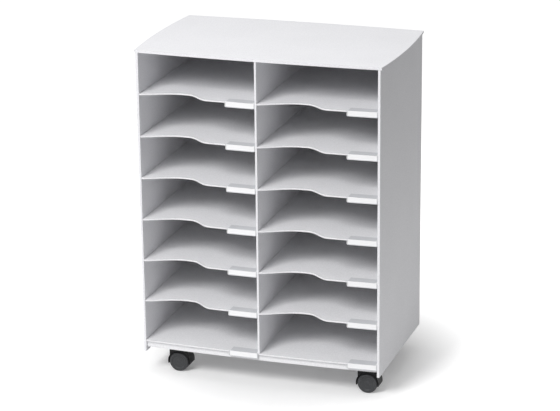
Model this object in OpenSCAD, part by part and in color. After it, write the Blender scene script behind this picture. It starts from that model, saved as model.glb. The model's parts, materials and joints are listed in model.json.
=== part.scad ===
// Mobile file sorter: two columns of fixed shelves in a thin plastic cabinet on twin-wheel castors.
// Origin on the floor under the middle of the sorter, +Z up, open front towards -Y, millimetres.

/* [Cabinet] */
// Clear width of one compartment
comp_w = 255; // [200:1:320]
// Clear height of one compartment
comp_h = 88; // [70:1:120]
// Depth of the side panels
body_d = 326; // [280:1:420]
// How far the front line bows out at the middle of the sorter
front_bow = 7; // [3:0.5:12]
// Thickness of the side panels
side_t = 5; // [4:0.5:8]
// Thickness of the upright between the two columns
divider_t = 4; // [3.6:0.2:8]
// Thickness of the back panel
back_t = 3; // [2:0.5:5]
// How far the back panel stands in from the rear edges of the side panels
back_inset = 5; // [2:0.5:12]
// How far the side panels reach below the rails
skirt_drop = 9; // [2:0.5:10]

/* [Top panel] */
// Thickness of the top panel
top_t = 5; // [4:0.5:10]
// How far the corners of the top panel stand out past the side panels
top_overhang = 2.8; // [1:0.2:8]
// Outward bow of the left and right edges of the top panel
top_side_bow = 8.8; // [2:0.2:16]
// Outward bow of the rear edge of the top panel
top_back_bow = 7; // [2:0.5:12]

/* [Shelves] */
// Thickness of the shelves and of the base panel
shelf_t = 3; // [2.4:0.2:5]
// How far the shelf edges stand behind the front line
shelf_setback = 1; // [0.5:0.1:3]
// Depth of the finger recess in a shelf's front edge
recess_d = 29.5; // [10:0.5:50]
// Distance from the left end of a shelf to its recess
recess_start = 2.5; // [1:0.5:12]
// Length of the long left flank of the recess
recess_lead = 87; // [40:1:95]
// Length of the deepest stretch of the recess
recess_floor = 10; // [4:1:15]
// Length of the short right flank of the recess
recess_return = 51; // [30:1:55]
// Distance from the front line to where a shelf's tongues begin
tongue_start = 14; // [11:0.5:30]
// How far a shelf's tongues reach into the panels
tongue = 1.2; // [0.8:0.1:1.5]

/* [Label holders] */
// Length of a label holder
label_w = 64; // [40:1:75]
// How far a label holder hangs below its shelf
label_drop = 8.5; // [5:0.5:14]
// Wall of a label holder
label_wall = 1; // [0.8:0.1:1.5]
// Width of the slot that the card slides into
label_slot = 0.7; // [0.5:0.1:1.2]
// Border of the card window in a label holder's face
label_frame = 1.2; // [1:0.1:3]
// How far the holder reaches back over the shelf
label_grip = 22; // [3:0.5:30]
// Thickness of a card
card_t = 0.35; // [0.2:0.05:0.45]

/* [Rails] */
// Thickness of the rails under the base panel
rail_t = 4; // [2:0.5:8]
// How far the front rail stands behind the front line
rail_setback = 6; // [5.5:0.5:14]

/* [Castors] */
// Diameter of a castor wheel
wheel_d = 43; // [32:1:60]
// Width of a castor wheel
wheel_w = 13; // [10:0.5:22]
// Distance from a castor's swivel axis to its axle
trail = 16; // [10:0.5:20]
// Diameter of the axle
axle_d = 6; // [4:0.5:8]
// Thickness of the hood's wall between the two wheels
web_t = 7; // [6:0.5:14]
// Thickness of the fender over the wheels
fender_t = 2.3; // [1.6:0.1:4]
// Height of the hood above its fender's inside
hood_crown = 13.8; // [9:0.2:20]
// Diameter of the upright pin that a castor swivels on
pin_d = 6; // [5:0.5:10]
// Side of the square socket block that holds the pin
socket_w = 44; // [32:1:60]
// Height of the socket block
socket_h = 14.5; // [10:0.5:24]
// Room between a turning castor and the side panel
castor_side_gap = 1.9; // [1:0.1:40]
// Room between a turning castor and the front or rear plane of the side panels
castor_end_gap = 2.5; // [1:0.1:40]

/* [Fasteners] */
// Diameter of the pegs that locate the top panel and the upright
peg_d = 2.4; // [1.6:0.1:2.6]
// Distance from the front and rear planes to the pegs
peg_inset = 45; // [25:1:80]
// Diameter of the screws that hold the socket blocks
screw_d = 3; // [2:0.5:4]

/* [Hidden] */
$fn = 48;

// Rows of compartments, columns and corners
rows = 7;
columns = ["left", "right"];
corners = ["front_left", "front_right", "rear_left", "rear_right"];

// Clearances
groove_fit = 0.1;
butt_fit = 0.2;
running_fit = 0.05;
seat_fit = 0.02;
label_fit = 0.1;
label_end_gap = 0.5;
wheel_side_gap = 0.6;
wheel_top_gap = 1.2;
swivel_gap = 1;
cut = 1;

// Heights, from the floor up
wheel_r = wheel_d / 2;
axle_z = wheel_r;
hood_top = wheel_d + wheel_top_gap + hood_crown;
socket_z = hood_top + swivel_gap;
rail_rise = 0.5;
rail_z = socket_z + rail_rise;
skirt_z = rail_z - skirt_drop;
base_z = socket_z + socket_h;
row_pitch = comp_h + shelf_t;
top_z = base_z + rows * row_pitch;

// Widths, from the middle out
x_div = divider_t / 2;
x_in = x_div + comp_w;
x_out = x_in + side_t;
x_top = x_out + top_overhang;
groove_depth = tongue + groove_fit;

// Depths: the box of the whole sorter is centred on the origin
y_front = -(body_d + top_back_bow - front_bow) / 2;
y_back = y_front + body_d;
y_panel = y_back - back_inset - back_t;
y_shelf_end = y_panel - butt_fit;
divider_setback = 0.5;

// Label holder
label_depth = 2 * label_wall + label_slot;
label_lip = 0.8;
label_catch = 2;
label_rise = 0.5;
label_corner = 2.5;
lip_inset = 2;
lip_short = 4;
card_margin = 0.6;

// Finger recess: exponent that eases its left flank in
recess_ease = 1.25;

// Castors
fender_in = wheel_r + wheel_top_gap;
fender_r = fender_in + fender_t;
pair_w = web_t + 2 * (wheel_side_gap + wheel_w);
disc_proud = 1;
hood_w = pair_w - 2 * disc_proud;
leg_drop = 5;
pin_wall = 1.8;
pin_floor = 1.8;
pin_cap = 2.5;
hood_rear = trail + pin_d / 2 + pin_wall;
hood_shoulder = 3.5;
hood_front = fender_r - hood_shoulder;
hood_corner = 5;
hub_wall = 3.5;
axle_bite = 8.5;
bore_spare = 0.5;
hood_sweep = norm([trail + fender_r, hood_w / 2]);
castor_x = x_in - hood_sweep - castor_side_gap;
castor_y = hood_sweep + castor_end_gap;

// Wheel disc
tread_round = 3;
tread_edge = 1.5;
rim_w = 3.5;
dish = 1.4;
hub_cap_r = 5.5;
hub_cap = 0.7;

// Fasteners
base_skin = 0.8;
top_skin = 2;
peg_down = 11;
peg_xs = [-x_out + side_t / 2, 0, x_out - side_t / 2];
screw_head_d = 2 * screw_d;
screw_head_h = 0.75 * screw_d;
screw_head_sunk = 0.5;
screw_sink = screw_head_h + screw_head_sunk;
screw_room = 0.2;
screw_cross_w = 0.25 * screw_d;
screw_cross_h = 0.35 * screw_d;
screw_from_edge = 7;

// Samples along a curved edge
edge_steps = 48;
bow_steps = 24;
strip_steps = 8;
arc_steps = 6;

function shelf_names(column) = [for (n = [1 : rows - 1]) str("shelf_", column, "_", n)];
function holder_names(column) = [for (n = [1 : rows]) str("label_holder_", column, "_", n)];
function castor_names(corner) = [
    for (piece = ["hood", "axle", "wheel_a", "wheel_b"]) str("castor_", corner, "_", piece)
];

shell_colour = "#dfe1e0";
shelf_colour = "#d8dad9";
holder_colour = "#c9cccf";
card_colour = "#fbfbf9";
block_colour = "#c9cbca";
castor_colour = "#2b2c2e";
disc_colour = "#4a4b4d";
steel_colour = "#b4b8bb";

// Top surface of the floor of row n, where row 1 is at the top and the last row stands on the base panel
function level(n) = base_z + shelf_t + (rows - n) * row_pitch;

// Left and right ends of a column's compartments
function comp_left(column) = column == "left" ? -x_in : x_div;
function comp_right(column) = comp_left(column) + comp_w;
function label_left(column) = label_right(column) - label_w;
function label_right(column) = comp_right(column) - label_end_gap;
function lip_left(column) = label_left(column) + lip_inset;
function lip_right(column) = label_right(column) - lip_short;

// Parabolic bow: 1 in the middle, 0 at both ends
function bow(t) = 1 - t * t;

// The bowed front line that the shelves, the base panel and the front rail follow
function front_line(x) = y_front - front_bow * bow(x / x_out);

// Depth of the finger recess at a distance from the left end of a shelf
function recess(s) =
    s <= 0 ? 0
    : s < recess_lead ? recess_d * pow(sin(90 * s / recess_lead), recess_ease)
    : s < recess_lead + recess_floor ? recess_d
    : s < recess_lead + recess_floor + recess_return
        ? recess_d * (1 + cos(180 * (s - recess_lead - recess_floor) / recess_return)) / 2
    : 0;

// Evenly spaced values from a to b
function spaced(a, b, steps) = [for (i = [0 : steps]) a + (b - a) * i / steps];

// Front edge of one compartment's floor, from its left end to its right end
function floor_edge(column, recessed) = concat(
    [for (x = spaced(comp_left(column), label_left(column) - label_fit, edge_steps))
        [x, front_line(x) + shelf_setback + (recessed ? recess(x - comp_left(column) - recess_start) : 0)]],
    [for (x = spaced(label_left(column) - label_fit, comp_right(column), strip_steps))
        [x, front_line(x) + label_depth + label_fit]]
);

// A floor's front edge closed to the rear, with tongues on both ends
function floor_outline(edge, x0, x1) = concat(
    edge,
    [[x1, y_front + tongue_start], [x1 + tongue, y_front + tongue_start], [x1 + tongue, y_shelf_end]],
    [[x0 - tongue, y_shelf_end], [x0 - tongue, y_front + tongue_start], [x0, y_front + tongue_start]]
);

// Upright slab between two offsets behind the front line
module front_strip(x0, x1, y0, y1, z0, z1, steps = strip_steps) {
    near_edge = [for (x = spaced(x0, x1, steps)) [x, front_line(x) + y0]];
    far_edge = [for (x = spaced(x1, x0, steps)) [x, front_line(x) + y1]];
    translate([0, 0, z0]) linear_extrude(z1 - z0) polygon(concat(near_edge, far_edge));
}

// Groove for a tongue, cut into the face at x towards side
module tongue_groove(x, side, z) {
    x0 = side > 0 ? x - cut : x - groove_depth;
    length = y_panel + groove_fit - y_front - tongue_start;
    translate([x0, y_front + tongue_start - groove_fit, z - shelf_t - groove_fit])
        cube([groove_depth + cut, length, shelf_t + 2 * groove_fit]);
}

// Places of the pegs in front-to-rear pairs
module at_peg_pair(x, z) {
    for (y = [y_front + peg_inset, y_back - peg_inset]) translate([x, y, z]) children();
}

module peg_bore(depth) {
    translate([0, 0, -depth]) cylinder(d = peg_d + 2 * seat_fit, h = depth + cut);
}

module side_panel(side) {
    color(shell_colour) difference() {
        translate([side > 0 ? x_in : -x_out, y_front, skirt_z]) cube([side_t, body_d, top_z - skirt_z]);
        for (n = [1 : rows]) tongue_groove(side * x_in, side, level(n));
        translate([side > 0 ? x_in - cut : -x_in - groove_depth, y_panel - groove_fit, rail_z - groove_fit])
            cube([groove_depth + cut, back_t + 2 * groove_fit, top_z - rail_z + cut]);
        at_peg_pair(side * (x_out - side_t / 2), top_z) peg_bore(peg_down);
    }
}

module centre_divider() {
    y0 = front_line(0) + divider_setback;
    z0 = level(rows);
    color(shell_colour) difference() {
        translate([-x_div, y0, z0]) cube([divider_t, y_shelf_end - y0, top_z - z0]);
        for (n = [1 : rows - 1]) {
            tongue_groove(x_div, -1, level(n));
            tongue_groove(-x_div, 1, level(n));
        }
        at_peg_pair(0, top_z) peg_bore(peg_down);
        at_peg_pair(0, z0) mirror([0, 0, 1]) peg_bore(peg_down);
    }
}

// Flat plate whose four edges all bow outwards
module top_panel() {
    y_mid = (y_front + y_back) / 2;
    front = [for (t = spaced(-1, 1, bow_steps)) [t * x_top, y_front - front_bow * bow(t)]];
    right = [for (t = spaced(-1, 1, bow_steps)) [x_top + top_side_bow * bow(t), y_mid + t * body_d / 2]];
    rear = [for (t = spaced(1, -1, bow_steps)) [t * x_top, y_back + top_back_bow * bow(t)]];
    left = [for (t = spaced(1, -1, bow_steps)) [-x_top - top_side_bow * bow(t), y_mid + t * body_d / 2]];
    function open_end(edge) = [for (i = [0 : bow_steps - 1]) edge[i]];
    color(shell_colour) difference() {
        translate([0, 0, top_z]) linear_extrude(top_t)
            polygon(concat(open_end(front), open_end(right), open_end(rear), open_end(left)));
        for (x = peg_xs) at_peg_pair(x, top_z) mirror([0, 0, 1]) peg_bore(top_t - top_skin);
    }
}

module back_panel() {
    color(shell_colour) translate([-x_in - tongue, y_panel, rail_z])
        cube([2 * (x_in + tongue), back_t, top_z - rail_z]);
}

// Rebate in a floor's top that takes the lip of its label holder
module label_rebate(column, z) {
    front_strip(
        lip_left(column) - label_fit, lip_right(column) + label_fit,
        0, label_depth + label_grip + label_fit, z - label_lip, z + cut
    );
}

module base_panel() {
    edge = concat(floor_edge("left", false), floor_edge("right", false));
    color(shelf_colour) difference() {
        translate([0, 0, base_z]) linear_extrude(shelf_t) polygon(floor_outline(edge, -x_in, x_in));
        for (column = columns) label_rebate(column, level(rows));
        at_peg_pair(0, level(rows)) peg_bore(shelf_t - base_skin);
        for (corner = corners) at_socket_screws(corner, base_z - cut)
            cylinder(d = screw_d + 2 * seat_fit, h = shelf_t - base_skin + cut);
    }
}

module front_rail() {
    color(block_colour)
        front_strip(-x_in, x_in, rail_setback, rail_setback + rail_t, rail_z, base_z, bow_steps);
}

module rear_rail() {
    color(block_colour) translate([-x_in, y_shelf_end - rail_t, rail_z])
        cube([2 * x_in, rail_t, base_z - rail_z]);
}

module shelf(column, n) {
    outline = floor_outline(floor_edge(column, true), comp_left(column), comp_right(column));
    color(shelf_colour) difference() {
        translate([0, 0, level(n) - shelf_t]) linear_extrude(shelf_t) polygon(outline);
        label_rebate(column, level(n));
    }
}

// Clip with a framed window, a card slot open at the top, a lip over the floor and a catch under it
module label_holder(column, n) {
    x0 = label_left(column);
    x1 = label_right(column);
    top = level(n) + label_rise;
    under = level(n) - shelf_t;
    low = under - label_drop;
    back = label_depth - label_wall;
    reach = label_depth + label_grip;
    color(holder_colour) intersection() {
        union() {
            difference() {
                front_strip(x0, x1, 0, label_wall, low, top);
                front_strip(
                    x0 + label_frame, x1 - label_frame, -cut, label_wall + cut, low + label_frame, top + cut
                );
            }
            front_strip(x0, x1, 0, label_depth, low, low + label_wall);
            front_strip(x0, x1, back, label_depth, low, level(n));
            front_strip(lip_left(column), lip_right(column), back, reach, level(n) - label_lip, level(n));
            front_strip(x0, x1, back, label_depth + label_fit + label_catch, under - label_wall, under);
        }
        translate([x0, y_front + reach, low]) rotate([90, 0, 0]) linear_extrude(reach + front_bow + cut)
            round_foot_tab(label_w, top - low, label_corner);
    }
}

// Rectangle standing on the X axis with its two lower corners rounded
module round_foot_tab(w, h, r) {
    translate([0, r]) square([w, h - r]);
    translate([r, 0]) square([w - 2 * r, h]);
    for (x = [r, w - r]) translate([x, r]) circle(r);
}

module label_cards() {
    card_y = label_wall + (label_slot - card_t) / 2;
    color(card_colour) for (column = columns) for (n = [1 : rows])
        front_strip(
            label_left(column) + card_margin, label_right(column) - card_margin,
            card_y, card_y + card_t, level(n) - shelf_t - label_drop + label_wall, level(n)
        );
}

// A corner's swivel axis on the floor
function swivel_x(corner) = corner == "front_left" || corner == "rear_left" ? -castor_x : castor_x;
function swivel_y(corner) =
    corner == "front_left" || corner == "front_right" ? y_front + castor_y : y_back - castor_y;

module at_swivel(corner, z) {
    translate([swivel_x(corner), swivel_y(corner), z]) children();
}

// Direction that a castor trails in at rest: to the right at the front and to the left at the rear
function heading(corner) = corner == "front_left" || corner == "front_right" ? 0 : 180;

module at_axle(corner) {
    at_swivel(corner, axle_z) rotate(heading(corner)) translate([trail, 0, 0]) children();
}

module at_socket_screws(corner, z) {
    reach = socket_w / 2 - screw_from_edge;
    at_swivel(corner, z) for (x = [-reach, reach]) for (y = [-reach, reach]) translate([x, y, 0]) children();
}

module castor_socket(corner) {
    color(block_colour) difference() {
        at_swivel(corner, socket_z) translate([-socket_w / 2, -socket_w / 2, 0])
            cube([socket_w, socket_w, socket_h]);
        at_swivel(corner, socket_z - cut) cylinder(d = pin_d + 2 * seat_fit, h = socket_h - pin_cap + cut);
        at_socket_screws(corner, socket_z - cut) {
            cylinder(d = screw_d + 2 * screw_room, h = socket_h + 2 * cut);
            cylinder(d = screw_head_d + 2 * screw_room, h = screw_sink + cut);
        }
    }
}

module castor_pins() {
    low = hood_top - hood_crown + pin_floor + bore_spare;
    high = socket_z + socket_h - pin_cap;
    color(steel_colour) for (corner = corners) at_swivel(corner, low) cylinder(d = pin_d, h = high - low);
}

// Pan-head screws seen from below, each with a crossed recess in its head
module socket_screws() {
    shank = socket_h - screw_sink + shelf_t - base_skin;
    color(steel_colour) for (corner = corners) at_socket_screws(corner, socket_z + screw_sink) {
        cylinder(d = screw_d, h = shank);
        difference() {
            translate([0, 0, -screw_head_h]) cylinder(d = screw_head_d, h = screw_head_h);
            for (turn = [0, 90]) rotate(turn)
                translate([-screw_d / 2, -screw_cross_w / 2, -screw_head_h - cut])
                    cube([screw_d, screw_cross_w, screw_cross_h + cut]);
        }
    }
}

module panel_pegs() {
    color(shell_colour) {
        for (x = peg_xs) at_peg_pair(x, top_z - peg_down + bore_spare)
            cylinder(d = peg_d, h = peg_down + top_t - top_skin - bore_spare);
        at_peg_pair(0, level(rows) - shelf_t + base_skin)
            cylinder(d = peg_d, h = peg_down + shelf_t - base_skin - bore_spare);
    }
}

// Turns a shape made along Z to lie along Y
module across() {
    rotate([90, 0, 0]) children();
}

// Block with its two upper long edges rounded, lying along Y
module round_top_block(x0, x1, w, z0, z1, r) {
    translate([x0, -w / 2, z0]) cube([x1 - x0, w, z1 - z0 - r]);
    translate([x0 + r, -w / 2, z0]) cube([x1 - x0 - 2 * r, w, z1 - z0]);
    for (x = [x0 + r, x1 - r]) translate([x, 0, z1 - r]) across() cylinder(r = r, h = w, center = true);
}

// Hood in one piece: fender over both wheels, web between them and a block round the swivel pin
module castor_hood(corner) {
    crown = hood_top - axle_z;
    color(castor_colour) difference() {
        at_axle(corner) difference() {
            union() {
                round_top_block(-hood_rear, hood_front, hood_w, 0, crown, hood_corner);
                across() cylinder(r = fender_r, h = hood_w, center = true);
            }
            translate([-2 * fender_r, -hood_w, -2 * fender_r])
                cube([4 * fender_r, 2 * hood_w, 2 * fender_r - leg_drop]);
            for (side = [-1, 1]) rotate([90 * side, 0, 0]) translate([0, 0, web_t / 2])
                cylinder(r = fender_in, h = hood_w);
        }
        axle_bore(corner);
        at_swivel(corner, hood_top - hood_crown + pin_floor)
            cylinder(d = pin_d + 2 * running_fit, h = hood_crown + cut);
    }
    color(castor_colour) difference() {
        at_axle(corner) across() cylinder(d = axle_d + 2 * hub_wall, h = web_t, center = true);
        axle_bore(corner);
    }
}

module axle_bore(corner) {
    at_axle(corner) across() cylinder(d = axle_d + 2 * seat_fit, h = web_t + 2 * cut, center = true);
}

module castor_axle(corner) {
    reach = web_t / 2 + wheel_side_gap + axle_bite - bore_spare;
    color(steel_colour) at_axle(corner) across() cylinder(d = axle_d, h = 2 * reach, center = true);
}

// Quarter round from angle a0 to a1 about a centre
function arc(x, y, r, a0, a1) = [for (a = spaced(a0, a1, arc_steps)) [x + r * cos(a), y + r * sin(a)]];

// Half section of a wheel: radius along X, width along Y from its inner face to its outer one
function wheel_section() = concat(
    [[0, axle_bite], [axle_d / 2 + running_fit, axle_bite], [axle_d / 2 + running_fit, 0]],
    arc(wheel_r - tread_edge, tread_edge, tread_edge, -90, 0),
    arc(wheel_r - tread_round, wheel_w - tread_round, tread_round, 0, 90),
    [[wheel_r - tread_round - rim_w, wheel_w], [wheel_r - tread_round - rim_w - dish, wheel_w - dish]],
    [[hub_cap_r, wheel_w - dish], [hub_cap_r - hub_cap, wheel_w - dish + hub_cap]],
    [[0, wheel_w - dish + hub_cap]]
);

// side is -1 for the wheel on the right of the castor's trail and 1 for the one on its left
module castor_wheel(corner, side) {
    color(disc_colour) at_axle(corner) rotate([-90 * side, 0, 0])
        translate([0, 0, web_t / 2 + wheel_side_gap]) rotate_extrude() polygon(wheel_section());
}

side_panel(-1);  // left_side_panel
side_panel(1);  // right_side_panel
centre_divider();
top_panel();
back_panel();
base_panel();
front_rail();
rear_rail();
for (column = columns) {
    for (n = [1 : rows - 1]) shelf(column, n);
    for (n = [1 : rows]) label_holder(column, n);
}
label_cards();
for (corner = corners) {
    castor_socket(corner);
    castor_hood(corner);
    castor_axle(corner);
    castor_wheel(corner, -1);
    castor_wheel(corner, 1);
}
castor_pins();
socket_screws();
panel_pegs();
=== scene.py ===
import json
import math

import bmesh
import bpy
from mathutils import Matrix, Vector


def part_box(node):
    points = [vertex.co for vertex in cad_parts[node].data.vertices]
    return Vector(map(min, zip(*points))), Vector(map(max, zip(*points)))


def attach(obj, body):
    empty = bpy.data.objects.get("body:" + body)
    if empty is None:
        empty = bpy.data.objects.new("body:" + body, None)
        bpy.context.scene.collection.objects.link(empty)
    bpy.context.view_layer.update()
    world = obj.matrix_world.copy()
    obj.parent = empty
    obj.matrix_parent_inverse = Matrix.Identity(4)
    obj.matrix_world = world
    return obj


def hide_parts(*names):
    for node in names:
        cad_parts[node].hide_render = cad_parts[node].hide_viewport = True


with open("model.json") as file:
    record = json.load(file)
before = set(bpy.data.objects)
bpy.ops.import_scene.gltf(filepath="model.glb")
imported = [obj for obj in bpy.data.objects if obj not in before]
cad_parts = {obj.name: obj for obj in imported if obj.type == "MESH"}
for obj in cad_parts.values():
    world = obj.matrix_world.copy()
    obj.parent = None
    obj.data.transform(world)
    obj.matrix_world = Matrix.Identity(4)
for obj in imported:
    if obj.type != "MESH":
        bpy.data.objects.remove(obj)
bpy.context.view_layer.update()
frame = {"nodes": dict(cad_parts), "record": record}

MM = 0.001

# Where each node belongs: its body, and the record's slot for its finish
BODY_OF = {n: body for body, members in frame["record"]["behaviour"]["bodies"].items() for n in members}
SLOT_OF = {row["node"]: row["material_slot"] for row in frame["record"]["subparts"]}

# Picture width and focal length in pixels, and the photograph's viewing angle in degrees and metres
PICTURE_W = 560
FOCAL_PX = 2251.0
SENSOR_MM = 36.0
VIEW_AZIMUTH = 18.39
VIEW_ELEVATION = 18.08
VIEW_ROLL = -0.59
VIEW_DISTANCE = 4.553
VIEW_REACH = 100.0
AIM = Vector((0.0725, -0.2351, 0.4328))

# Edge rounding in millimetres, by the start of a node's name without its corner
EDGE_RADIUS = {
    "top_panel": 2.2,
    "left_side": 0.9,
    "right_side": 0.9,
    "centre_divider": 0.9,
    "back_panel": 0.4,
    "base_panel": 0.7,
    "shelf": 0.7,
    "front_rail": 0.8,
    "rear_rail": 0.8,
    "label_holder": 0.25,
    "label_cards": 0.05,
    "castor_socket": 0.8,
    "castor_pins": 0.5,
    "castor_hood": 0.8,
    "castor_axle": 0.4,
    "castor_wheel": 0.4,
    "panel_pegs": 0.3,
}
CORNERS = ("front_left_", "front_right_", "rear_left_", "rear_right_")
BEVEL_STEPS = 3

# Largest angle between faces that count as one plane, and smallest that is rounded or shaded as an edge
FLAT_ANGLE = math.radians(0.05)
BEVEL_ANGLE = math.radians(35)
SHARP_ANGLE = math.radians(40)

# Points nearer than this in metres become one: in the CAD triangles, and where roundings meet
CAD_WELD = 1e-6
BEVEL_WELD = 5e-6

# Socket screw, millimetres: profile of radius and height from the head's face up, and its cross recess
SCREWS = "socket_screws"
SCREW_PROFILE = [(2.1, 0.0), (2.75, 0.35), (3.0, 0.9), (3.0, 2.25), (1.5, 2.25), (1.5, 15.8), (1.2, 16.2)]
SCREW_SIDES = 24
SCREW_SEED = 7
CROSS_L = 3.0
CROSS_W = 0.8
CROSS_H = 1.0
CROSS_TAPER = 0.7

# Points of the CAD screws nearer than this in metres belong to one screw
SCREW_SPREAD = 0.005

# Refractive index of styrene blends and nylon, which are close, and of paper
PLASTIC_IOR = 1.54
PAPER_IOR = 1.45

# Moulded plastic: its slow mottling, whose share in the tone is small, and its fine grain, which is the rest
MOTTLE_MM = 120
MOTTLE_SHARE = 0.12
GRAIN_BUMP = 0.35

# Lowest and highest value of the grain noise that shows in a plastic's tone and sheen
GRAIN_SPAN = (0.3, 0.7)

# Card: width, depth and flattening of its fibres
FIBRE_MM = 1.6
FIBRE_DEPTH_MM = 0.03
FIBRE_SQUEEZE = (1.0, 1.0, 2.5)
FIBRE_BUMP = 0.2
CARD_ROUGH = 0.85

# Steel: width of the zinc's crystal patches, and the tool marks of turning round the upright axis
CRYSTAL_MM = 2.5
TURNED_MM = 3.0
TURNED_DEPTH_MM = 0.02
TURNED_SQUEEZE = (1.0, 1.0, 12.0)
TURNED_BUMP = 0.15
TURNED_ROUGH = (0.25, 0.42)

# Studio: place and width in metres and power in watts of each softbox, their aim, and the light all round
KEY_PLACE = (-0.88, -2.82, 2.72)
KEY_WIDTH = 1.28
KEY_WATTS = 101.0
TOP_PLACE = (0.0, -0.1, 2.7)
TOP_WIDTH = 1.2
TOP_WATTS = 7.5
LAMP_AIM = Vector((0.0, -0.1, 0.4))
AMBIENT = 0.345
WHITE = (1.0, 1.0, 1.0, 1.0)

# Floor, metres from the origin: its edge, where its paper fades out, and where its painted glow rises to full
# white over its shadow
FLOOR_REACH = 30.0
SWEEP_EDGE = (1.0, 2.0)
PAINTED_GLOW_REACH = (0.12, 0.65)

# Painted light: share of white glow added to the floor for the camera under the sorter, and far from it,
# which hides its shadow
PAINTED_GLOW_SHARE = (0.1, 1.0)

# Sockets that share a name: Mix's numbers, colours and mixed colour, and Random Value's limit and result
MIX_FACTOR, MIX_A, MIX_B = 0, 2, 3
MIX_COLOUR_A, MIX_COLOUR_B, MIXED_COLOUR = 6, 7, 2
RANDOM_MAX, RANDOM_RESULT = 3, 1


def linear(hex_colour):
    """Linear RGBA of an sRGB hex colour."""
    values = [int(hex_colour[i:i + 2], 16) / 255 for i in (1, 3, 5)]
    return [v / 12.92 if v <= 0.04045 else ((v + 0.055) / 1.055) ** 2.4 for v in values] + [1.0]


def per_mm(size_mm):
    """Texture scale whose features are about size_mm wide on Object coordinates in metres."""
    return 1000.0 / size_mm


def add(tree, kind, settings=None, links=None):
    """Adds a node; settings are attributes or input values, links go from (node, output) to an input."""
    node = tree.nodes.new(kind)
    for key, value in (settings or {}).items():
        if isinstance(key, str) and hasattr(node, key):
            setattr(node, key, value)
        else:
            node.inputs[key].default_value = value
    for key, (source, output) in (links or {}).items():
        tree.links.new(source.outputs[output], node.inputs[key])
    return node


def new_material(name):
    """Empty node material and its tree."""
    material = bpy.data.materials.new(name)
    material.use_nodes = True
    material.node_tree.nodes.clear()
    return material, material.node_tree


def moulded_plastic(name, light, dark, rough, rough_span, grit_mm, depth_mm, gloss):
    """Moulded thermoplastic: even colour, faint flow mottling and the sandy grain of an eroded mould.

    The real grain is a few tenths of a millimetre; it is drawn coarser, so that it shows in a picture.
    """
    material, tree = new_material(name)
    coords = add(tree, "ShaderNodeTexCoord")
    place = {"Vector": (coords, "Object")}
    mottle = add(tree, "ShaderNodeTexNoise", {"Scale": per_mm(MOTTLE_MM), "Detail": 2.0}, place)
    grain = add(
        tree, "ShaderNodeTexNoise", {"Scale": per_mm(grit_mm), "Detail": 5.0, "Roughness": 0.8}, place
    )
    blend = add(
        tree, "ShaderNodeMix", {"data_type": "FLOAT", MIX_FACTOR: MOTTLE_SHARE},
        {MIX_A: (grain, "Fac"), MIX_B: (mottle, "Fac")},
    )
    tone = add(
        tree, "ShaderNodeMapRange", {"From Min": GRAIN_SPAN[0], "From Max": GRAIN_SPAN[1]},
        {"Value": (blend, 0)},
    )
    colour = add(
        tree, "ShaderNodeMix",
        {"data_type": "RGBA", MIX_COLOUR_A: linear(dark), MIX_COLOUR_B: linear(light)},
        {MIX_FACTOR: (tone, 0)},
    )
    sheen = add(
        tree, "ShaderNodeMapRange",
        {
            "From Min": GRAIN_SPAN[0], "From Max": GRAIN_SPAN[1],
            "To Min": rough - rough_span, "To Max": rough + rough_span,
        },
        {"Value": (grain, "Fac")},
    )
    bump = add(
        tree, "ShaderNodeBump", {"Strength": GRAIN_BUMP, "Distance": depth_mm * MM},
        {"Height": (grain, "Fac")},
    )
    shader = add(
        tree, "ShaderNodeBsdfPrincipled", {"IOR": PLASTIC_IOR, "Specular IOR Level": gloss},
        {"Base Color": (colour, MIXED_COLOUR), "Roughness": (sheen, 0), "Normal": (bump, 0)},
    )
    add(tree, "ShaderNodeOutputMaterial", {}, {"Surface": (shader, 0)})
    return material


def uncoated_card():
    """Blank index card: bright uncoated paper with a faint fibre tooth, drawn coarser so that it shows."""
    material, tree = new_material("uncoated white card")
    coords = add(tree, "ShaderNodeTexCoord")
    squeezed = add(tree, "ShaderNodeMapping", {"Scale": FIBRE_SQUEEZE}, {"Vector": (coords, "Object")})
    fibre = add(
        tree, "ShaderNodeTexNoise", {"Scale": per_mm(FIBRE_MM), "Detail": 4.0}, {"Vector": (squeezed, 0)}
    )
    colour = add(
        tree, "ShaderNodeMix",
        {"data_type": "RGBA", MIX_COLOUR_A: linear("#f2f2f3"), MIX_COLOUR_B: linear("#fbfbfc")},
        {MIX_FACTOR: (fibre, "Fac")},
    )
    bump = add(
        tree, "ShaderNodeBump", {"Strength": FIBRE_BUMP, "Distance": FIBRE_DEPTH_MM * MM},
        {"Height": (fibre, "Fac")},
    )
    shader = add(
        tree, "ShaderNodeBsdfPrincipled", {"Roughness": CARD_ROUGH, "IOR": PAPER_IOR},
        {"Base Color": (colour, MIXED_COLOUR), "Normal": (bump, 0)},
    )
    add(tree, "ShaderNodeOutputMaterial", {}, {"Surface": (shader, 0)})
    return material


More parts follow.
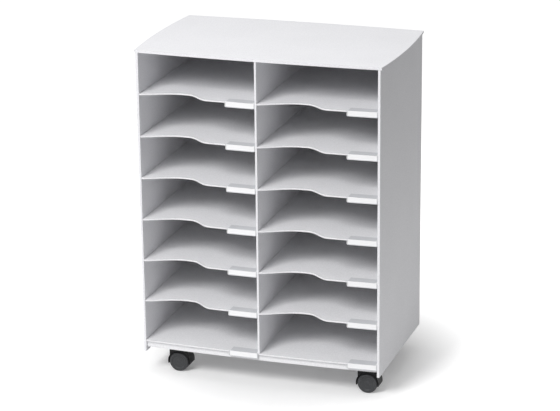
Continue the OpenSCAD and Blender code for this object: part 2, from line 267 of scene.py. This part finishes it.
def zinc_plated_steel():
    """Bright zinc on turned steel: silvery with tool marks and cloudy crystal patches.

    Both are drawn coarser than on a real screw, so that they show.
    """
    material, tree = new_material("zinc-plated turned steel")
    coords = add(tree, "ShaderNodeTexCoord")
    place = {"Vector": (coords, "Object")}
    cloud = add(tree, "ShaderNodeTexNoise", {"Scale": per_mm(CRYSTAL_MM), "Detail": 3.0}, place)
    squeezed = add(tree, "ShaderNodeMapping", {"Scale": TURNED_SQUEEZE}, place)
    turned = add(
        tree, "ShaderNodeTexNoise", {"Scale": per_mm(TURNED_MM), "Detail": 2.0}, {"Vector": (squeezed, 0)}
    )
    colour = add(
        tree, "ShaderNodeMix",
        {"data_type": "RGBA", MIX_COLOUR_A: linear("#a3a8ad"), MIX_COLOUR_B: linear("#c9cdd0")},
        {MIX_FACTOR: (cloud, "Fac")},
    )
    sheen = add(
        tree, "ShaderNodeMapRange", {"To Min": TURNED_ROUGH[0], "To Max": TURNED_ROUGH[1]},
        {"Value": (turned, "Fac")},
    )
    bump = add(
        tree, "ShaderNodeBump", {"Strength": TURNED_BUMP, "Distance": TURNED_DEPTH_MM * MM},
        {"Height": (turned, "Fac")},
    )
    shader = add(
        tree, "ShaderNodeBsdfPrincipled", {"Metallic": 1.0},
        {"Base Color": (colour, MIXED_COLOUR), "Roughness": (sheen, 0), "Normal": (bump, 0)},
    )
    add(tree, "ShaderNodeOutputMaterial", {}, {"Surface": (shader, 0)})
    return material


# One finish for each material slot of the record
FINISHES = {
    # Panels: almost white with a cool tinge, matt and evenly grained
    "shell_plastic": moulded_plastic(
        "moulded light-grey polystyrene", "#f8f8fb", "#e1e1e4",
        rough=0.5, rough_span=0.06, grit_mm=2.6, depth_mm=0.08, gloss=0.2,
    ),
    # Shelves: the same grey, with a little more sheen
    "shelf_plastic": moulded_plastic(
        "moulded grey polystyrene shelf", "#f7f7f9", "#e0e0e2",
        rough=0.46, rough_span=0.06, grit_mm=2.6, depth_mm=0.07, gloss=0.2,
    ),
    # Rails and socket blocks: a shade darker and duller
    "rail_plastic": moulded_plastic(
        "extruded grey polystyrene", "#f5f5f7", "#dfdfe1",
        rough=0.55, rough_span=0.05, grit_mm=2.6, depth_mm=0.07, gloss=0.2,
    ),
    # Label clips: smoother, and greyer than the shelf that they clip on
    "holder_plastic": moulded_plastic(
        "pale styrene label clip", "#dbdcdf", "#d0d2d5",
        rough=0.3, rough_span=0.04, grit_mm=2.0, depth_mm=0.02, gloss=0.2,
    ),
    "card": uncoated_card(),
    # Castor hoods: deep black with a dull sheen
    "castor_plastic": moulded_plastic(
        "black glass-filled nylon", "#18181a", "#101012",
        rough=0.42, rough_span=0.08, grit_mm=1.6, depth_mm=0.08, gloss=0.15,
    ),
    # Wheels: charcoal, with a sheen that catches the light on their caps
    "wheel_plastic": moulded_plastic(
        "charcoal nylon wheel", "#464749", "#363739",
        rough=0.4, rough_span=0.08, grit_mm=1.8, depth_mm=0.06, gloss=0.25,
    ),
    "steel": zinc_plated_steel(),
}


def placed(name, thing):
    """New object of a mesh, lamp or camera in the scene."""
    holder = bpy.data.objects.new(name, thing)
    bpy.context.scene.collection.objects.link(holder)
    return holder


def plain_mesh(rough):
    """Mesh of an object with its modifiers applied; the object itself is removed."""
    graph = bpy.context.evaluated_depsgraph_get()
    mesh = bpy.data.meshes.new_from_object(
        rough.evaluated_get(graph), preserve_all_data_layers=True, depsgraph=graph
    )
    bpy.data.objects.remove(rough)
    return mesh


def stand_in(rough, node_name):
    """Plain piece from an object with modifiers, shaded flat on its large faces and smooth round its edges.

    It stands for a CAD node and rides on its body.
    """
    name = node_name + "_dressed"
    mesh = plain_mesh(rough)
    mesh.shade_smooth()
    mesh.set_sharp_from_angle(angle=SHARP_ANGLE)
    smooth = placed(name + "_smooth", mesh)
    weights = smooth.modifiers.new("weights", "WEIGHTED_NORMAL")
    weights.keep_sharp = True
    piece = placed(name, plain_mesh(smooth))
    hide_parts(node_name)
    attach(piece, BODY_OF[node_name])


def edge_radius(node_name):
    """Rounding of a node's edges in metres."""
    plain = node_name
    for corner in CORNERS:
        plain = plain.replace("castor_" + corner, "castor_")
    return next(r for start, r in EDGE_RADIUS.items() if plain.startswith(start)) * MM


def dress(node_name):
    """Stands a copy of a CAD node in for it: welded, with rounded edges and its finish."""
    mesh = frame["nodes"][node_name].data.copy()
    shape = bmesh.new()
    shape.from_mesh(mesh)
    bmesh.ops.remove_doubles(shape, verts=shape.verts, dist=CAD_WELD)
    bmesh.ops.dissolve_limit(shape, angle_limit=FLAT_ANGLE, verts=shape.verts, edges=shape.edges)
    shape.to_mesh(mesh)
    shape.free()
    mesh.materials.clear()
    mesh.materials.append(FINISHES[SLOT_OF[node_name]])
    rough = placed(node_name + "_rough", mesh)
    bevel = rough.modifiers.new("edges", "BEVEL")
    bevel.width = edge_radius(node_name)
    bevel.segments = BEVEL_STEPS
    bevel.limit_method = "ANGLE"
    bevel.angle_limit = BEVEL_ANGLE
    weld = rough.modifiers.new("closed corners", "WELD")
    weld.merge_threshold = BEVEL_WELD
    stand_in(rough, node_name)


def screw_places(node_name):
    """Lower end of each screw of a CAD node: its axis in X and Y, and its head's face in Z."""
    spans = {}
    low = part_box(node_name)[0][2]
    for vertex in frame["nodes"][node_name].data.vertices:
        x, y = vertex.co.x, vertex.co.y
        key = next((k for k in spans if math.dist(k, (x, y)) < SCREW_SPREAD), (x, y))
        spans.setdefault(key, []).append((x, y))
    middles = []
    for points in spans.values():
        xs, ys = zip(*points)
        middles.append(((min(xs) + max(xs)) / 2, (min(ys) + max(ys)) / 2, low))
    return middles


def pan_head_screw():
    """Mesh of one screw, head down: domed head with a tapered cross recess, neck and shank."""
    shape = bmesh.new()

    def ring(radius, z):
        turns = [2 * math.pi * i / SCREW_SIDES for i in range(SCREW_SIDES)]
        return [shape.verts.new((radius * math.cos(a), radius * math.sin(a), z)) for a in turns]

    def wall(lower, upper):
        for i, start in enumerate(lower):
            after = (i + 1) % len(lower)
            shape.faces.new((start, lower[after], upper[after], upper[i]))

    def cross(scale, z):
        long, short = CROSS_L / 2 * scale, CROSS_W / 2 * scale
        arm = [(long, -short), (long, short), (short, short)]
        turns = [Matrix.Rotation(math.radians(90 * k), 2) for k in range(4)]
        return [shape.verts.new((*(turn @ Vector(p)), z)) for turn in turns for p in arm]

    def outline(points):
        pairs = zip(points, points[1:] + points[:1])
        return [shape.edges.get(pair) or shape.edges.new(pair) for pair in pairs]

    rings = [ring(r * MM, z * MM) for r, z in SCREW_PROFILE]
    for lower, upper in zip(rings, rings[1:]):
        wall(lower, upper)
    shape.faces.new(rings[-1])
    mouth, floor = cross(MM, 0.0), cross(CROSS_TAPER * MM, CROSS_H * MM)
    wall(floor, mouth)
    shape.faces.new(reversed(floor))
    bmesh.ops.triangle_fill(shape, edges=outline(mouth) + outline(rings[0]), use_beauty=True)
    bmesh.ops.recalc_face_normals(shape, faces=shape.faces)
    mesh = bpy.data.meshes.new("pan-head screw")
    shape.to_mesh(mesh)
    shape.free()
    return mesh


def screw_tree():
    """Geometry Nodes tree that sets a screw on every point, each turned at random about its axis."""
    tree = bpy.data.node_groups.new("screws on points", "GeometryNodeTree")
    inputs = {
        "Points": "Geometry", "Screw": "Object", "Largest turn": "Float", "Seed": "Int", "Finish": "Material",
    }
    for label, kind in inputs.items():
        tree.interface.new_socket(label, in_out="INPUT", socket_type="NodeSocket" + kind)
    tree.interface.new_socket("Screws", in_out="OUTPUT", socket_type="NodeSocketGeometry")
    given = add(tree, "NodeGroupInput")
    shape = add(tree, "GeometryNodeObjectInfo", {}, {"Object": (given, "Screw")})
    turn = add(
        tree, "FunctionNodeRandomValue", {"data_type": "FLOAT"},
        {RANDOM_MAX: (given, "Largest turn"), "Seed": (given, "Seed")},
    )
    about_z = add(tree, "ShaderNodeCombineXYZ", {}, {"Z": (turn, RANDOM_RESULT)})
    rotation = add(tree, "FunctionNodeEulerToRotation", {}, {0: (about_z, 0)})
    on_points = add(
        tree, "GeometryNodeInstanceOnPoints", {},
        {"Points": (given, "Points"), "Instance": (shape, "Geometry"), "Rotation": (rotation, 0)},
    )
    real = add(tree, "GeometryNodeRealizeInstances", {}, {0: (on_points, 0)})
    finish = add(
        tree, "GeometryNodeSetMaterial", {}, {"Geometry": (real, 0), "Material": (given, "Finish")}
    )
    add(tree, "NodeGroupOutput", {}, {"Screws": (finish, 0)})
    return tree


def set_screws(node_name):
    """Stands screws in for a CAD node, set on its places by the tree and turned into a plain mesh."""
    screw = placed("screw", pan_head_screw())
    mesh = bpy.data.meshes.new(node_name + "_places")
    mesh.from_pydata(screw_places(node_name), [], [])
    rough = placed(node_name + "_rough", mesh)
    setter = rough.modifiers.new("screws", "NODES")
    setter.node_group = screw_tree()
    values = {
        "Screw": screw, "Largest turn": math.tau, "Seed": SCREW_SEED, "Finish": FINISHES[SLOT_OF[node_name]],
    }
    for item in setter.node_group.interface.items_tree:
        if item.name in values:
            setter[item.identifier] = values[item.name]
    stand_in(rough, node_name)
    bpy.data.objects.remove(screw)


def view_axes(azimuth, elevation, roll):
    """Camera's right, up and backward axes for a view from the front, turned to the right by azimuth."""
    az, el = math.radians(azimuth), math.radians(elevation)
    right = Vector((math.cos(az), math.sin(az), 0.0))
    back = Vector((math.sin(az) * math.cos(el), -math.cos(az) * math.cos(el), math.sin(el)))
    turn = Matrix.Rotation(math.radians(roll), 3, back)
    return turn @ right, turn @ back.cross(right), back


def add_camera():
    """Camera at the photograph's viewing angle, without shift or depth of field."""
    camera = bpy.data.cameras.new("camera")
    camera.sensor_fit = "HORIZONTAL"
    camera.sensor_width = SENSOR_MM
    camera.lens = FOCAL_PX / PICTURE_W * SENSOR_MM
    camera.clip_end = VIEW_REACH
    holder = placed("camera", camera)
    right, up, back = view_axes(VIEW_AZIMUTH, VIEW_ELEVATION, VIEW_ROLL)
    turn = Matrix((right, up, back)).transposed().to_4x4()
    holder.matrix_world = Matrix.Translation(AIM + back * VIEW_DISTANCE) @ turn
    bpy.context.scene.camera = holder


def add_softbox(name, place, width, watts):
    """Square softbox that shines at the sorter and is itself not in the picture."""
    lamp = bpy.data.lights.new(name, "AREA")
    lamp.size = width
    lamp.energy = watts
    holder = placed(name, lamp)
    holder.location = place
    holder.rotation_euler = (LAMP_AIM - Vector(place)).to_track_quat("-Z", "Y").to_euler()
    holder.visible_camera = False


def plainly_seen(tree):
    """1 for rays from the camera and for what gloss or clear material shows of the background, else 0."""
    path = add(tree, "ShaderNodeLightPath")
    direct = add(
        tree, "ShaderNodeMath", {"operation": "MAXIMUM"},
        {0: (path, "Is Camera Ray"), 1: (path, "Is Glossy Ray")},
    )
    return add(
        tree, "ShaderNodeMath", {"operation": "MAXIMUM"},
        {0: (direct, 0), 1: (path, "Is Transmission Ray")},
    )


def add_floor():
    """Pale paper sweep on a dark studio floor, with a painted white glow for the camera that is faint under
    the sorter and full away from it, so that its shadow fades out.
    """
    material, tree = new_material("white studio sweep")
    coords = add(tree, "ShaderNodeTexCoord")
    away = add(tree, "ShaderNodeVectorMath", {"operation": "LENGTH"}, {0: (coords, "Object")})
    paper_end = add(
        tree, "ShaderNodeMapRange", {"From Min": SWEEP_EDGE[0], "From Max": SWEEP_EDGE[1]},
        {"Value": (away, "Value")},
    )
    colour = add(
        tree, "ShaderNodeMix",
        {"data_type": "RGBA", MIX_COLOUR_A: linear("#f0f0f0"), MIX_COLOUR_B: linear("#606060")},
        {MIX_FACTOR: (paper_end, 0)},
    )
    plain = add(tree, "ShaderNodeBsdfDiffuse", {}, {"Color": (colour, MIXED_COLOUR)})
    # Painted light: a white glow, faint under the sorter and full from a short way out, that fades the
    # floor's real shadow to white
    painted_glow = add(
        tree, "ShaderNodeMapRange",
        {
            "interpolation_type": "SMOOTHERSTEP",
            "From Min": PAINTED_GLOW_REACH[0], "From Max": PAINTED_GLOW_REACH[1],
            "To Min": PAINTED_GLOW_SHARE[0], "To Max": PAINTED_GLOW_SHARE[1],
        },
        {"Value": (away, "Value")},
    )
    seen = add(
        tree, "ShaderNodeMath", {"operation": "MULTIPLY"}, {0: (plainly_seen(tree), 0), 1: (painted_glow, 0)}
    )
    glow = add(tree, "ShaderNodeEmission", {"Color": WHITE}, {"Strength": (seen, 0)})
    both = add(tree, "ShaderNodeAddShader", {}, {0: (plain, 0), 1: (glow, 0)})
    add(tree, "ShaderNodeOutputMaterial", {}, {"Surface": (both, 0)})
    mesh = bpy.data.meshes.new("floor")
    corners = [(x * FLOOR_REACH, y * FLOOR_REACH, 0) for x, y in ((-1, -1), (1, -1), (1, 1), (-1, 1))]
    mesh.from_pydata(corners, [], [(0, 1, 2, 3)])
    mesh.materials.append(material)
    floor = placed("floor", mesh)


def add_world():
    """Even studio surround that the camera and reflections see as white."""
    world = bpy.data.worlds.new("studio")
    world.use_nodes = True
    tree = world.node_tree
    tree.nodes.clear()
    strength = add(
        tree, "ShaderNodeMapRange", {"To Min": AMBIENT, "To Max": 1.0}, {"Value": (plainly_seen(tree), 0)}
    )
    glow = add(tree, "ShaderNodeBackground", {"Color": WHITE}, {"Strength": (strength, 0)})
    add(tree, "ShaderNodeOutputWorld", {}, {"Surface": (glow, 0)})
    bpy.context.scene.world = world


for name in sorted(frame["nodes"]):
    if name == SCREWS:
        set_screws(name)
    else:
        dress(name)

add_camera()
add_softbox("key", KEY_PLACE, KEY_WIDTH, KEY_WATTS)
add_softbox("top", TOP_PLACE, TOP_WIDTH, TOP_WATTS)
add_floor()
add_world()
bpy.context.scene.view_settings.view_transform = "Standard"
